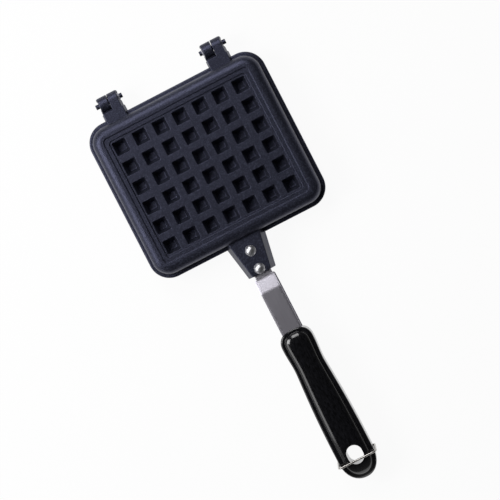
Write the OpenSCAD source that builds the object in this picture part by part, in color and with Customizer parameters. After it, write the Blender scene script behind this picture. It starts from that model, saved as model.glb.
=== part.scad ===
// Stovetop waffle pan: two cast halves that hinge at the far end, each with a strap and a moulded grip,
// and a wire bail on the lower grip that holds the two grips shut.
// The pan lies on z = 0, the hinge is towards +Y and the grips towards -Y.
// Each half is made once, about its parting line with z pointing out of the pan, and the lower one is flipped.

/* [Cast plates] */
// Width of a plate over its flange
plate_width = 160; // [150:1:185]
// Length of a plate over its flange, from the handle edge to the hinge edge
plate_length = 140.4; // [132:0.2:165]
// Radius of the flange's corners seen from above
corner_radius = 17.6; // [16:0.2:24]
// Height of the crest of the frame over the parting line
plate_height = 16; // [15:0.5:20]
// Thickness of the casting
casting_wall = 2.6; // [2:0.1:3]
// Width of the flat flange outside the frame
flange_width = 3.7; // [3:0.1:4.5]
// Thickness of the flange
flange_thickness = 3; // [2.4:0.1:4]
// Radius rolled on the flange's outer edge
flange_edge_radius = 1.2; // [0.6:0.1:1.8]
// Radius of the frame's shoulder, from its outer wall to its crest
shoulder_radius = 7.2; // [5:0.2:7.6]
// Lean of the frame's outer wall, in degrees
wall_draft = 5; // [2:1:8]
// Width of the crest's flat top
crest_width = 1.7; // [1:0.1:2.5]
// Drop from the crest to the ledge round the panel, a bevel as wide as it is high
ledge_drop = 0.7; // [0.4:0.1:1]
// Width of the ledge, from its bevel to the panel's edge
ledge_width = 3.4; // [2.6:0.1:4.5]
// Drop from the crest to the recessed panel
panel_drop = 1.7; // [1.3:0.1:2.2]
// Corner radius of the recessed panel
panel_corner = 2.8; // [1:0.2:5]
// Half of the hairline left between the two closed halves
seam_gap = 0.1; // [0.05:0.05:0.3]
// Width of the sealing rim, from the flange's edge to the batter cavity
rim_width = 6.4; // [6:0.1:7.5]
// Fillet where the cavity's wall meets its floor
cavity_fillet = 4; // [2:0.5:6]

/* [Waffle grid] */
// Number of pits across the plate
pit_columns = 7; // [5:1:7]
// Number of pits along the plate
pit_rows = 6; // [4:1:6]
// Width of a pit at its mouth
pit_mouth = 11.8; // [10:0.1:12.6]
// Width of a pit at its floor
pit_floor = 6.2; // [4:0.1:7.5]
// Plain margin between the outer pits and the panel's edge
panel_margin = 1.9; // [1:0.1:3]
// Wall of a stud beside its pit, measured across
stud_wall = 2.3; // [1.6:0.1:2.6]
// Distance from a stud's tip to the parting line
stud_clearance = 2.75; // [2.3:0.05:4]

/* [Hinges] */
// Distance between the middles of the two hinges
hinge_spacing = 96; // [70:1:110]
// Distance from the flange's edge out to the pin
pin_offset = 13.5; // [13:0.1:16]
// Radius of the hinge knuckles
knuckle_radius = 6.3; // [5:0.1:6.6]
// Width of a hinge base at its top
lug_width = 17.2; // [15:0.2:20]
// How far a hinge base stands out past the flange's edge
lug_reach = 5.5; // [4:0.1:6]
// Sideways gap between the two knuckles of a hinge
knuckle_gap = 1.7; // [0.6:0.1:2.5]
// Lean of the hinge base's side faces, in degrees
lug_draft = 6; // [2:1:10]
// Narrowing of a hinge arm, from its base to the flat round its pin
arm_taper = 0.8; // [0:0.1:1.2]
// Width of the flat that shows round the pin's head
pin_seat = 0.4; // [0.2:0.1:0.8]
// Radius of the hinge pin
pin_radius = 2; // [1.5:0.1:2.5]
// Radial running clearance of the pin in its bores
pin_clearance = 0.06; // [0.02:0.01:0.1]
// Radius of the pin's domed head
pin_head_radius = 3; // [2.8:0.1:4]
// Height of the pin's domed head
pin_head_height = 1.9; // [1.4:0.1:2.6]
// Radius of the pin's peened tail
pin_tail_radius = 2.6; // [2.6:0.1:3.4]
// Height of the pin's peened tail
pin_tail_height = 0.8; // [0.5:0.1:1.2]
// End play of the pin under its tail
pin_play = 0.1; // [0.05:0.05:0.3]

/* [Strap brackets] */
// Distance a bracket stands out past the flange's edge
bracket_reach = 29; // [27:0.5:36]
// Width of the bracket's top at the plate
bracket_top_width = 26.6; // [25:0.2:32]
// Slant of the bracket's sides seen from above, in degrees
bracket_taper = 9; // [4:0.5:9]
// Lean of the bracket's sides seen from its end, in degrees
bracket_draft = 20; // [10:1:24]
// Height of the bracket over the parting line
bracket_height = 9; // [8.5:0.1:11]
// Thickness of the bracket's walls
bracket_wall = 2.2; // [1.8:0.1:2.4]
// Distance from the flange's edge to the first rivet
first_rivet = 8.4; // [7.5:0.1:10]
// Distance between the two rivets of a bracket
rivet_pitch = 16.4; // [12:0.1:17]
// Radius of a rivet's shank
rivet_radius = 2.5; // [2:0.1:3]
// Radius of a rivet's domed head
rivet_head_radius = 4.5; // [3.6:0.1:5]
// Height of a rivet's domed head
rivet_head_height = 2.5; // [1.8:0.1:3.2]
// Radius of the set head that closes a rivet
rivet_tail_radius = 3.7; // [3.2:0.1:4.4]
// Height of the set head that closes a rivet
rivet_tail_height = 1.4; // [1:0.1:2]
// Radial clearance of the rivets in their holes
rivet_clearance = 0.05; // [0.02:0.01:0.2]

/* [Straps] */
// Thickness of a strap
strap_thickness = 1.8; // [1.2:0.1:2.2]
// Width of a strap
strap_width = 17.8; // [17:0.2:21]
// Play of the strap's tongue between the bracket's walls, on each side
tongue_play = 0.2; // [0.1:0.1:1]
// Length of the tongue beyond the bracket
tongue_show = 3.4; // [2:0.2:6]
// Radius of the strap's shoulders beside the tongue
strap_corner = 1.7; // [0.8:0.1:1.7]
// Length of the strap that shows between its shoulders and its grip
strap_show = 48.8; // [40:0.2:70]
// Angle at which the strap climbs after its bracket, in degrees
strap_slope = 13; // [6:1:16]
// Radius of the strap's two bends
strap_bend = 9; // [4:0.5:12]
// Rise of the strap from its bracket to its grip
strap_rise = 2.6; // [2.2:0.1:3.4]
// Depth to which the strap is moulded into its grip
tang_depth = 62; // [40:1:75]
// Radius of the holes in the tang that the grip flows through
tang_hole_radius = 3; // [2:0.1:4]
// Distance between the two holes in the tang
tang_hole_pitch = 30; // [16:1:36]

/* [Grips] */
// Length of a grip
grip_length = 136.5; // [130:0.5:150]
// Half width of the grip behind its front end
bulb_half = 14; // [13:0.1:15.4]
// Half width of the grip at its waist
waist_half = 13; // [12:0.1:13.8]
// Half width of the grip at its swell
swell_half = 15.7; // [14.8:0.1:17]
// Distance from the grip's front end to its waist
waist_at = 37; // [30:1:45]
// Distance from the grip's front end to its swell
swell_at = 104; // [85:1:108]
// Length of the rounded front end
front_round = 11.5; // [9:0.5:16]
// Fullness of the front end's outline, where 2 is an ellipse
front_fullness = 2.3; // [2:0.1:3]
// Length of the rounded tail end
tail_round = 23; // [20:0.5:28]
// Fullness of the tail end's outline, where 2 is an ellipse
tail_fullness = 2.1; // [2:0.1:3]
// Height of the grip's crown over the parting line
crown_height = 14.8; // [14:0.1:15.2]
// Height of the band round the crown over the parting line
band_height = 10.6; // [10.2:0.1:11.5]
// Width of the band round the crown
band_width = 4.2; // [3:0.1:5]
// Radius of the band's outer edge
band_edge = 1.6; // [0.8:0.1:1.8]
// Rise of the band from its outer edge to the crown
band_rise = 0.2; // [0:0.05:0.5]
// How soon the crown turns over above the band, where 0 is upright
crown_turn = 0.16; // [0.05:0.01:0.4]
// Width left flat along the middle of the crown
crown_flat = 0.9; // [0.5:0.1:2]
// Share of the crown's height lost at the waist
waist_dip = 0.06; // [0:0.01:0.1]
// Gap left between each grip and the parting line
grip_gap = 0.25; // [0.1:0.05:0.6]
// Radius of the hanging hole's round ends
hang_radius = 6.7; // [5.5:0.1:7]
// Length of the hanging hole along the grip
hang_length = 16; // [14.5:0.5:18]
// Distance from the tail end to the middle of the hanging hole
hang_inset = 21.7; // [20:0.1:24]
// Flare of the hanging hole's mouth, measured across and down
hang_flare = 1.1; // [0.4:0.1:1.4]

/* [Wire bail] */
// Radius of the bail's wire
wire_radius = 0.9; // [0.7:0.05:1.1]
// Distance from the tail end to the bail's pivot
bail_inset = 20; // [18:0.1:20.5]
// Distance of the bail's pivot from the parting line, in the lower grip
bail_pivot_drop = 8.4; // [8:0.1:9]
// Clearance between the wire and the grips
bail_clearance = 0.3; // [0.3:0.05:0.6]
// Lean of the closed bail towards the tail end, in degrees
bail_lean = 6.5; // [4:0.5:10]
// Radius of the bail's upper corners, at the middle of the wire
bail_corner = 3.2; // [2:0.1:5]
// Radius of the bail's lower bends, at the middle of the wire
bail_foot_bend = 1.5; // [1.3:0.1:2]
// Length of wire that runs inside each side of the grip
bail_engagement = 3.6; // [2.5:0.1:4.2]
// Radial running clearance of the bail in its holes
bail_hole_clearance = 0.08; // [0.03:0.01:0.1]

/* [Hidden] */
$fn = 48;

// Enough to carry a cut past the face that it opens
over = 1;

// Heights over the parting line
panel_z = plate_height - panel_drop;
ledge_z = plate_height - ledge_drop;
floor_z = panel_z - casting_wall;
pit_floor_z = stud_clearance + casting_wall;

// The frame's profile: the shoulder's centre, and the distances from the flange's edge to the ends of its parts
shoulder_z = plate_height - shoulder_radius;
wall_top_z = shoulder_z + shoulder_radius * sin(wall_draft);
wall_run = (wall_top_z - flange_thickness) * tan(wall_draft);
shoulder_d = flange_width + wall_run + shoulder_radius * cos(wall_draft);
crest_d = shoulder_d + crest_width;
ledge_d = crest_d + ledge_drop;
frame_width = ledge_d + ledge_width;

// The recessed panel and the pits that fill it
panel_width = plate_width - 2 * frame_width;
panel_length = plate_length - 2 * frame_width;
column_pitch = (panel_width - 2 * panel_margin - pit_mouth) / (pit_columns - 1);
row_pitch = (panel_length - 2 * panel_margin - pit_mouth) / (pit_rows - 1);

// Places along Y, measured from the middle of the plates, and the move that centres the pan on the origin
edge_y = plate_length / 2;
pin_y = edge_y + pin_offset;
far_y = pin_y + knuckle_radius;
bracket_end_y = -edge_y - bracket_reach;
shoulder_y = bracket_end_y - tongue_show;
grip_front_y = shoulder_y - strap_show;
grip_tail_y = grip_front_y - grip_length;
bail_y = grip_tail_y + bail_inset;
hang_y = grip_tail_y + hang_inset;
centring_y = -(far_y + grip_tail_y) / 2;

// The strap's middle height in its bracket and in its grip
strap_low_z = bracket_height - bracket_wall - strap_thickness / 2;
strap_high_z = strap_low_z + strap_rise;
tongue_start_y = -edge_y - casting_wall;

// Half width of the bracket at its foot beside the plate, and anywhere on its sides
bracket_foot = bracket_top_width / 2 + bracket_height * tan(bracket_draft) / cos(bracket_taper);
function bracket_half(y, z) =
  bracket_foot + (y + edge_y) * tan(bracket_taper) - z * tan(bracket_draft) / cos(bracket_taper);

// The tongue fills the bracket's narrow end
tongue_width = 2 * (bracket_half(bracket_end_y, bracket_height - bracket_wall) - bracket_wall - tongue_play);
strap_round = min(strap_corner, (strap_width - tongue_width) / 2);

// The nose of a grip is an arc about the bail's pivot, so the wire clears it all the way round
nose_radius = crown_height + bail_pivot_drop;
bail_radius = nose_radius + bail_clearance + wire_radius;
bail_half = grip_outline(grip_length - bail_inset) + bail_clearance + wire_radius;

cast_colour = "#4c4f58";
steel_colour = "#a9a7ac";
rivet_colour = "#d6d6d8";
grip_colour = "#17171a";

// Points of an arc from angle a to angle b in the given number of steps
function arc(centre, radius, a, b, steps = 8) = [
  for (i = [0:steps])
    let (t = a + (b - a) * i / steps)
    [centre[0] + radius * cos(t), centre[1] + radius * sin(t)]
];

// 0 to 1 with level ends
function ease(t) = (1 - cos(180 * min(1, max(0, t)))) / 2;

// Width of a superellipse of the given fullness: 1 up to its middle at t = 0, falling to 0 at its tip at t = 1
function round_end(t, n) = t <= 0 ? 1 : pow(max(0, 1 - pow(t, n)), 1 / n);

// Everything is made about the parting line, with z pointing out of the pan, and set in place here
module upper() {
  translate([0, centring_y, plate_height])
    children();
}

module lower() {
  translate([0, centring_y, plate_height])
    rotate([0, 180, 0])
      children();
}

// A rectangle with round corners, extruded from z = a to z = b
module rounded_slab(w, l, r, a, b) {
  translate([0, 0, a])
    linear_extrude(b - a)
      union() {
        square([w - 2 * r, l], center = true);
        square([w, l - 2 * r], center = true);
        for (sx = [-1, 1], sy = [-1, 1])
          translate([sx * (w / 2 - r), sy * (l / 2 - r)])
            circle(r);
      }
}

// A solid with a round-cornered outline whose edge has the given profile: two bars that cross, and four corners.
// The profile is a list of [distance in from the outline, height]. It starts at the foot of the outline, and its
// last two points lie one corner radius in, the upper one first.
module profiled_block(w, l, r, profile) {
  across = w / 2 - r;
  along = l / 2 - r;
  linear_bar(across, r, profile, 2 * along);
  rotate([0, 0, 90])
    linear_bar(along, r, profile, 2 * across);
  for (turn = [0, 180])
    rotate([0, 0, turn])
      for (side = [0, 1])
        translate([across, (side == 0 ? 1 : -1) * along, 0])
          rotate([0, 0, -90 * side])
            rotate_extrude(angle = 90)
              polygon([for (p = profile) [r - p[0], p[1]]]);
}

// A bar along Y with the profile on both of its sides, whose outlines lie half a middle and a radius out
module linear_bar(middle, r, profile, length) {
  edge = [for (p = profile) if (p[0] < r) [middle + (r - p[0]), p[1]]];
  rotate([90, 0, 0])
    linear_extrude(length, center = true)
      polygon(concat(edge, reversed([for (p = edge) [-p[0], p[1]]])));
}

// The outside of a plate: rolled flange, leaning wall, round shoulder, crest, and the ledge inside it
module plate_outside() {
  profile = concat(
    [[0, seam_gap]],
    arc([flange_edge_radius, flange_thickness - flange_edge_radius], flange_edge_radius, 180, 90, 5),
    [[flange_width, flange_thickness]],
    arc([shoulder_d, shoulder_z], shoulder_radius, 180 - wall_draft, 90, 9),
    [
      [crest_d, plate_height],
      [ledge_d, ledge_z],
      [corner_radius, ledge_z],
      [corner_radius, seam_gap]
    ]
  );
  profiled_block(plate_width, plate_length, corner_radius, profile);
}

// The batter cavity inside a plate, cut from the parting line up to its floor
module cavity() {
  r = corner_radius - rim_width;
  lean = floor_z * tan(wall_draft);
  profile = concat(
    [[0, seam_gap - over], [0, seam_gap]],
    arc([lean + cavity_fillet, floor_z - cavity_fillet], cavity_fillet, 180, 90, 6),
    [[r, floor_z], [r, seam_gap - over]]
  );
  profiled_block(plate_width - 2 * rim_width, plate_length - 2 * rim_width, r, profile);
}

// Half width of a pit at height z; a stud's side is the same slope, one stud wall further out
function pit_half(z) =
  pit_floor / 2 + (z - pit_floor_z) * (pit_mouth - pit_floor) / 2 / (panel_z - pit_floor_z);

// Tapered square pegs on the grid, from z = a to z = b, grown by the given wall.
// They are what a row of long wedges across the plate and a row of wedges along it have in common.
module grid_pegs(a, b, grow) {
  intersection() {
    for (i = [0:pit_columns - 1])
      translate([(i - (pit_columns - 1) / 2) * column_pitch, plate_length / 2, 0])
        rotate([90, 0, 0])
          linear_extrude(plate_length)
            peg_section(a, b, grow);
    for (j = [0:pit_rows - 1])
      translate([-plate_width / 2, (j - (pit_rows - 1) / 2) * row_pitch, 0])
        rotate([90, 0, 90])
          linear_extrude(plate_width)
            peg_section(a, b, grow);
  }
}

module peg_section(a, b, grow) {
  low = pit_half(a) + grow;
  high = pit_half(b) + grow;
  polygon([[-low, a], [low, a], [high, b], [-high, b]]);
}

// A hinge leaf: drafted base, arm on its +X side and the knuckle round the pin
module hinge_leaf() {
  spread = knuckle_radius * tan(lug_draft);
  half = lug_width / 2;
  root_y = edge_y - flange_width - casting_wall / 2;
  base_end_y = edge_y + lug_reach;
  seat_y = pin_y - max(pin_head_radius, pin_tail_radius) - pin_seat;
  difference() {
    union() {
      translate([0, base_end_y, 0])
        rotate([90, 0, 0])
          linear_extrude(base_end_y - root_y)
            polygon([
              [-half - spread, seam_gap], [half + spread, seam_gap],
              [half, knuckle_radius], [-half, knuckle_radius]
            ]);
      translate([0, 0, seam_gap])
        linear_extrude(knuckle_radius - seam_gap)
          polygon([
            [knuckle_gap / 2, base_end_y - over], [half, base_end_y - over],
            [half - arm_taper, seat_y], [half - arm_taper, pin_y], [knuckle_gap / 2, pin_y]
          ]);
      translate([knuckle_gap / 2, pin_y, 0])
        rotate([0, 90, 0])
          cylinder(r = knuckle_radius, h = half - arm_taper - knuckle_gap / 2);
    }
    translate([-plate_width / 4, pin_y, 0])
      rotate([0, 90, 0])
        cylinder(r = pin_radius + pin_clearance, h = plate_width / 2);
  }
}

// The bracket's block, drafted and tapering towards the grip, with its sides moved in by the given inset
module bracket_block(inset, start_y, end_y, low, high) {
  widest = bracket_half(start_y, low) + over;
  reach = 2 * plate_height;
  difference() {
    translate([-widest, end_y, low])
      cube([2 * widest, start_y - end_y, high - low]);
    for (side = [0, 1])
      mirror([side, 0, 0])
        translate([bracket_foot - inset, -edge_y, 0])
          rotate([0, 0, -bracket_taper])
            rotate([0, -bracket_draft, 0])
              translate([0, -2 * bracket_reach, -reach])
                cube([reach, 4 * bracket_reach, 2 * reach]);
  }
}

// The channel that the strap is riveted under, open towards the parting line and at its end
module bracket() {
  root_y = -edge_y + flange_width + casting_wall / 2;
  difference() {
    bracket_block(0, root_y, bracket_end_y, seam_gap, bracket_height);
    bracket_block(bracket_wall, -edge_y, bracket_end_y - over, seam_gap - over, bracket_height - bracket_wall);
    rivet_holes(bracket_height + over);
  }
}

// The holes that the two rivets fill, from the parting line up
module rivet_holes(top) {
  for (i = [0, 1])
    translate([0, rivet_y(i), 0])
      cylinder(r = rivet_radius + rivet_clearance, h = top);
}

function rivet_y(i) = -edge_y - first_rivet - i * rivet_pitch;

module plate() {
  color(cast_colour)
    difference() {
      union() {
        difference() {
          plate_outside();
          cavity();
          rounded_slab(panel_width, panel_length, panel_corner, panel_z, plate_height + over);
        }
        grid_pegs(stud_clearance, floor_z + casting_wall / 2, stud_wall);
        for (side = [-1, 1])
          translate([side * hinge_spacing / 2, 0, 0])
            hinge_leaf();
        bracket();
      }
      grid_pegs(pit_floor_z, panel_z + over, 0);
    }
}

// A domed head of the given radius and height, standing on z = 0
module dome(r, h) {
  ball = (r * r + h * h) / (2 * h);
  intersection() {
    translate([0, 0, h - ball])
      sphere(ball);
    cylinder(r = r + over, h = h + over);
  }
}

// A hinge pin, with its head on the knuckle nearer the pan's middle and its tail peened over the outer one
module hinge_pin(side) {
  half = lug_width / 2 - arm_taper;
  color(rivet_colour)
    translate([side * hinge_spacing / 2, pin_y, 0])
      rotate([0, -90 * side, 0]) {
        translate([0, 0, -half - pin_play])
          cylinder(r = pin_radius, h = 2 * half + pin_play);
        translate([0, 0, half])
          dome(pin_head_radius, pin_head_height);
        translate([0, 0, -half - pin_play])
          rotate([180, 0, 0])
            dome(pin_tail_radius, pin_tail_height);
      }
}

// A bracket rivet: domed head outside, shank through bracket and strap, and a set head under the strap
module rivet(i) {
  under_z = strap_low_z - strap_thickness / 2;
  color(rivet_colour)
    translate([0, rivet_y(i), 0]) {
      translate([0, 0, under_z])
        cylinder(r = rivet_radius, h = bracket_height - under_z);
      translate([0, 0, bracket_height])
        dome(rivet_head_radius, rivet_head_height);
      translate([0, 0, under_z - rivet_tail_height])
        cylinder(r = rivet_tail_radius, h = rivet_tail_height);
    }
}

// One face of the bent strap as [y, z], the given distance above its middle.
// It runs level, bends up to the slope, bends back and runs level into the grip.
function strap_face(off, end_y) =
  let (
    flat = strap_bend * (1 - cos(strap_slope)),
    slope_run = (strap_rise - 2 * flat) / tan(strap_slope),
    bend_y = shoulder_y,
    upper_y = bend_y - 2 * strap_bend * sin(strap_slope) - slope_run,
    steps = 4
  )
  concat(
    [[tongue_start_y, strap_low_z + off]],
    [
      for (i = [0:steps])
        let (t = strap_slope * i / steps)
        [bend_y - (strap_bend - off) * sin(t), strap_low_z + strap_bend - (strap_bend - off) * cos(t)]
    ],
    [
      for (i = [steps:-1:0])
        let (t = strap_slope * i / steps)
        [upper_y + (strap_bend + off) * sin(t), strap_high_z - strap_bend + (strap_bend + off) * cos(t)]
    ],
    [[end_y, strap_high_z + off]]
  );

function reversed(list) = [for (i = [len(list) - 1:-1:0]) list[i]];

// The strap's outline from above: tongue, round shoulders, straight sides and a round end inside the grip
module strap_outline() {
  end_y = grip_front_y - tang_depth;
  difference() {
    union() {
      translate([-tongue_width / 2, shoulder_y - strap_round])
        square([tongue_width, tongue_start_y - shoulder_y + strap_round]);
      translate([-strap_width / 2, end_y + strap_round])
        square([strap_width, shoulder_y - end_y - 2 * strap_round]);
      translate([-strap_width / 2 + strap_round, end_y])
        square([strap_width - 2 * strap_round, shoulder_y - end_y]);
      for (sx = [-1, 1], y = [shoulder_y - strap_round, end_y + strap_round])
        translate([sx * (strap_width / 2 - strap_round), y])
          circle(strap_round);
    }
    for (i = [0, 1])
      translate([0, end_y + strap_width / 2 + i * tang_hole_pitch])
        circle(tang_hole_radius);
  }
}

module strap() {
  end_y = grip_front_y - tang_depth - over;
  color(steel_colour)
    difference() {
      intersection() {
        linear_extrude(plate_height)
          strap_outline();
        translate([-strap_width, 0, 0])
          rotate([90, 0, 90])
            linear_extrude(2 * strap_width)
              polygon(concat(
                strap_face(strap_thickness / 2, end_y),
                reversed(strap_face(-strap_thickness / 2, end_y))
              ));
      }
      rivet_holes(plate_height);
    }
}

// Half width of the grip before its ends are rounded, at a distance s from its front
function grip_half(s) =
  s < waist_at
    ? bulb_half + (waist_half - bulb_half) * ease((s - front_round) / (waist_at - front_round))
    : waist_half + (swell_half - waist_half) * ease((s - waist_at) / (swell_at - waist_at));

function grip_outline(s) =
  grip_half(s)
  * round_end((front_round - s) / front_round, front_fullness)
  * round_end((s - grip_length + tail_round) / tail_round, tail_fullness);

// Height over the parting line of a point whose full height is z, at a distance s from the grip's front
function grip_rise(z, s) =
  let (
    past_pivot = max(0, s - grip_length + bail_inset),
    nose = sqrt(nose_radius * nose_radius - past_pivot * past_pivot) - bail_pivot_drop,
    dip = 1 - waist_dip * (swell_half - grip_half(s)) / (swell_half - waist_half)
  )
  grip_gap + (z - grip_gap) * dip * (nose - grip_gap) / (crown_height - grip_gap);

// The grip's section from its side wall to its crown, as [distance in from the outline, height]
grip_section = concat(
  [[0, grip_gap]],
  arc([band_edge, band_height - band_edge], band_edge, 180, 90, 3),
  [
    for (i = [0:5])
      let (t = i / 5, foot_z = band_height + band_rise)
      [
        band_width + (swell_half - band_width) * (crown_turn * t + (1 - crown_turn) * t * t * t),
        foot_z + (crown_height - foot_z) * sin(90 * sqrt(t))
      ]
  ]
);

// The moulded form of a grip: its section carried round its outline and drawn in towards a spine
module grip_form() {
  count = 56;
  rings = len(grip_section);
  spine_a = front_round;
  spine_b = grip_length - swell_half;
  points = [
    for (p = grip_section, i = [0:count - 1])
      let (
        turn = 360 * i / count,
        s = grip_length * (1 - cos(turn)) / 2,
        side = turn < 180 ? 1 : -1,
        foot = min(spine_b, max(spine_a, s)),
        share = max(crown_flat / 2, swell_half - p[0]) / swell_half,
        along = foot + (s - foot) * share
      )
      [side * share * grip_outline(s), grip_front_y - along, grip_rise(p[1], along)]
  ];
  walls = [
    for (k = [0:rings - 2], i = [0:count - 1])
      let (a = k * count + i, b = k * count + (i + 1) % count)
      each [[a, b, b + count], [a, b + count, a + count]]
  ];
  lids = [
    for (k = [0, rings - 1], i = [0:count / 2 - 1])
      let (
        a = k * count + i,
        b = a + 1,
        c = k * count + (count - i - 1),
        d = k * count + (count - i) % count,
        up = k > 0
      )
      each concat(
        [up ? [a, b, c] : [c, b, a]],
        i > 0 ? [up ? [a, c, d] : [d, c, a]] : []
      )
  ];
  polyhedron(points = points, faces = concat(walls, lids), convexity = 6);
}

// The long hanging hole, flared where it leaves the crown
module hang_hole() {
  run = hang_length - 2 * hang_radius;
  wall = [
    [hang_radius, 0], [hang_radius, crown_height - hang_flare],
    [hang_radius + hang_flare + over, crown_height + over]
  ];
  translate([0, hang_y, 0]) {
    rotate([90, 0, 0])
      linear_extrude(run, center = true)
        polygon(concat(wall, reversed([for (p = wall) [-p[0], p[1]]])));
    for (end = [-1, 1])
      translate([0, end * run / 2, 0])
        rotate_extrude()
          polygon(concat([[0, 0]], wall, [[0, crown_height + over]]));
  }
}

// The strap's tang as it lies in the grip, with the grip's own material through its holes
module tang_pocket() {
  translate([0, 0, strap_high_z - strap_thickness / 2])
    linear_extrude(strap_thickness)
      intersection() {
        strap_outline();
        translate([-strap_width, grip_front_y - 2 * tang_depth])
          square([2 * strap_width, 2 * tang_depth + 2 * over]);
      }
}

module grip() {
  difference() {
    grip_form();
    hang_hole();
    tang_pocket();
  }
}

// The two holes in the sides of the lower grip in which the bail turns
module bail_holes() {
  for (side = [0, 1])
    mirror([side, 0, 0])
      translate([bail_half - bail_engagement - bail_clearance, bail_y, bail_pivot_drop])
        rotate([0, 90, 0])
          cylinder(r = wire_radius + bail_hole_clearance, h = swell_half);
}

// A length of wire along +X from the origin
module wire(length) {
  rotate([0, 90, 0])
    cylinder(r = wire_radius, h = length);
}

// A quarter bend of wire in the XZ plane about the origin, from +X round to +Z
module wire_bend(radius) {
  rotate([90, 0, 0])
    rotate_extrude(angle = 90)
      translate([radius, 0])
        circle(wire_radius);
}

// Half of the bail, from the middle of its bridge to the end that turns in the grip
module bail_side() {
  leg = bail_radius - bail_corner - bail_foot_bend;
  translate([0, 0, bail_radius])
    wire(bail_half - bail_corner);
  translate([bail_half - bail_corner, 0, bail_radius - bail_corner])
    wire_bend(bail_corner);
  translate([bail_half, 0, bail_foot_bend])
    cylinder(r = wire_radius, h = leg);
  translate([bail_half - bail_foot_bend, 0, bail_foot_bend])
    mirror([0, 0, 1])
      wire_bend(bail_foot_bend);
  translate([bail_half - bail_engagement, 0, 0])
    wire(bail_engagement - bail_foot_bend);
}

module upper_plate() {
  upper() plate();
}

module lower_plate() {
  lower() plate();
}

module hinge_pin_left() {
  upper() hinge_pin(-1);
}

module hinge_pin_right() {
  upper() hinge_pin(1);
}

module upper_strap() {
  upper() strap();
}

module lower_strap() {
  lower() strap();
}

module upper_front_rivet() {
  upper() rivet(0);
}

module upper_rear_rivet() {
  upper() rivet(1);
}

module lower_front_rivet() {
  lower() rivet(0);
}

module lower_rear_rivet() {
  lower() rivet(1);
}

module upper_grip() {
  color(grip_colour)
    upper() grip();
}

module lower_grip() {
  color(grip_colour)
    lower()
      difference() {
        grip();
        bail_holes();
      }
}

module wire_bail() {
  color(steel_colour)
    translate([0, centring_y + bail_y, plate_height - bail_pivot_drop])
      rotate([bail_lean, 0, 0])
        for (side = [0, 1])
          mirror([side, 0, 0])
            bail_side();
}

upper_plate();
lower_plate();
hinge_pin_left();
hinge_pin_right();
upper_strap();
lower_strap();
upper_front_rivet();
upper_rear_rivet();
lower_front_rivet();
lower_rear_rivet();
upper_grip();
lower_grip();
wire_bail();
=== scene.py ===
import math

import bmesh
import bpy
import numpy as np
from mathutils import Euler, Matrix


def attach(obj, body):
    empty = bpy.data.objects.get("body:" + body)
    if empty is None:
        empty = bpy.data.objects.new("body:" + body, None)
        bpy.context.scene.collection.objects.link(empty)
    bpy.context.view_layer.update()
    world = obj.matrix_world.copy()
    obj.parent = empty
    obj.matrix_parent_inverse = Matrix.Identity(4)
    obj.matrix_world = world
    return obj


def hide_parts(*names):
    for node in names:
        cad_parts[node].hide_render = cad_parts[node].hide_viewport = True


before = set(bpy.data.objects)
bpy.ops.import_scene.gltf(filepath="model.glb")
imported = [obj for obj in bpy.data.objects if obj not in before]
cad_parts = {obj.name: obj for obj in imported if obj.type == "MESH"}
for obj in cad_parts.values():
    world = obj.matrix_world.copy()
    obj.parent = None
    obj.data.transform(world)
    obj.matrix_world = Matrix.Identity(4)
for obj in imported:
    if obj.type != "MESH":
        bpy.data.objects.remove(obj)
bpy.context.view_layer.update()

# Sizes of the pan in millimetres. They are those of its construction, apart from finer forms of the hinge arms, the
# pins' ends, the bracket and the grips. Each half is drawn about the parting line, with z pointing out of the pan,
# and `placed` sets it in the frame. Names end in _D for a distance in from the flange's edge, and in _S for one from the
# grip's front.
PAN_Y, PARTING_Z = 98.95, 16.0
PLATE_X, PLATE_Y, CORNER = 80.0, 70.2, 17.6
CREST_Z, LEDGE_Z, PANEL_Z, FLOOR_Z, SEAM_Z = 16.0, 15.3, 14.3, 11.7, 0.1
PANEL_D, LEDGE_D, CREST_D, SHOULDER_D, SHOULDER_R = 17.235, 13.835, 13.135, 11.435, 7.2
FLANGE_D, FLANGE_Z, SEAL_MID_D, SEAL_D = 3.7, 3.0, 3.2, 6.4
CAVITY_ROUND_D, CAVITY_D, CAVITY_DRAFT = 11.1, 16.1, math.tan(math.radians(5))
COLUMNS, ROWS, COLUMN_PITCH, ROW_PITCH = 7, 6, 18.3217, 18.066
PIT_MOUTH, PIT_FLOOR, PIT_FLOOR_Z, STUD_TIP_Z, STUD_WALL = 5.9, 3.1, 5.35, 2.75, 2.3
HINGE_X, PIN_Y, KNUCKLE, LUG_HALF, LUG_ROOT_Y, LUG_END_Y = 48.0, 83.7, 6.3, 8.85, 65.2, 75.7
LUG_LEAN, ARM_HALF, ARM_CORNER, SEAT_X, SEAT_R = math.tan(math.radians(14)), 9.62, 2.0, 8.45, 3.9
PIN_R, BORE_R = 2.0, 2.06
BRACKET_HALF, BRACKET_END_Y, BRACKET_Z, SHOULDER_Y = 14.2, -99.2, 9.0, -102.6
BRACKET_TAPER, BRACKET_DRAFT, BRACKET_WALL, BRACKET_TOP = math.radians(10.2), math.radians(20), 2.35, 2.2
BRACKET_ROLL, BRACKET_EDGE = 0.5, 0.9
RIVETS = (("front", -78.6), ("rear", -95.0))
TONGUE_HALF, STRAP_HALF, STRAP_STEP, STRAP_EDGE = 7.12, 8.9, 1.6, 0.12
GRIP_FRONT_Y, GRIP_LENGTH, PIVOT_S, HOLE_S = -151.4, 136.5, 116.5, 114.8
BULB, WAIST, SWELL, WAIST_AT, SWELL_AT = 14.0, 13.0, 15.7, 33.0, 104.0
FRONT_ROUND, TAIL_ROUND = 12.6, 20.5
CROWN_Z, BAND_Z, BAND_WIDTH, BAND_EDGE, BAND_RISE = 14.8, 10.6, 4.2, 1.6, 0.2
GRIP_GAP_Z = 0.25
HOLE_R, HOLE_RUN = 6.7, 1.3
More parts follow.
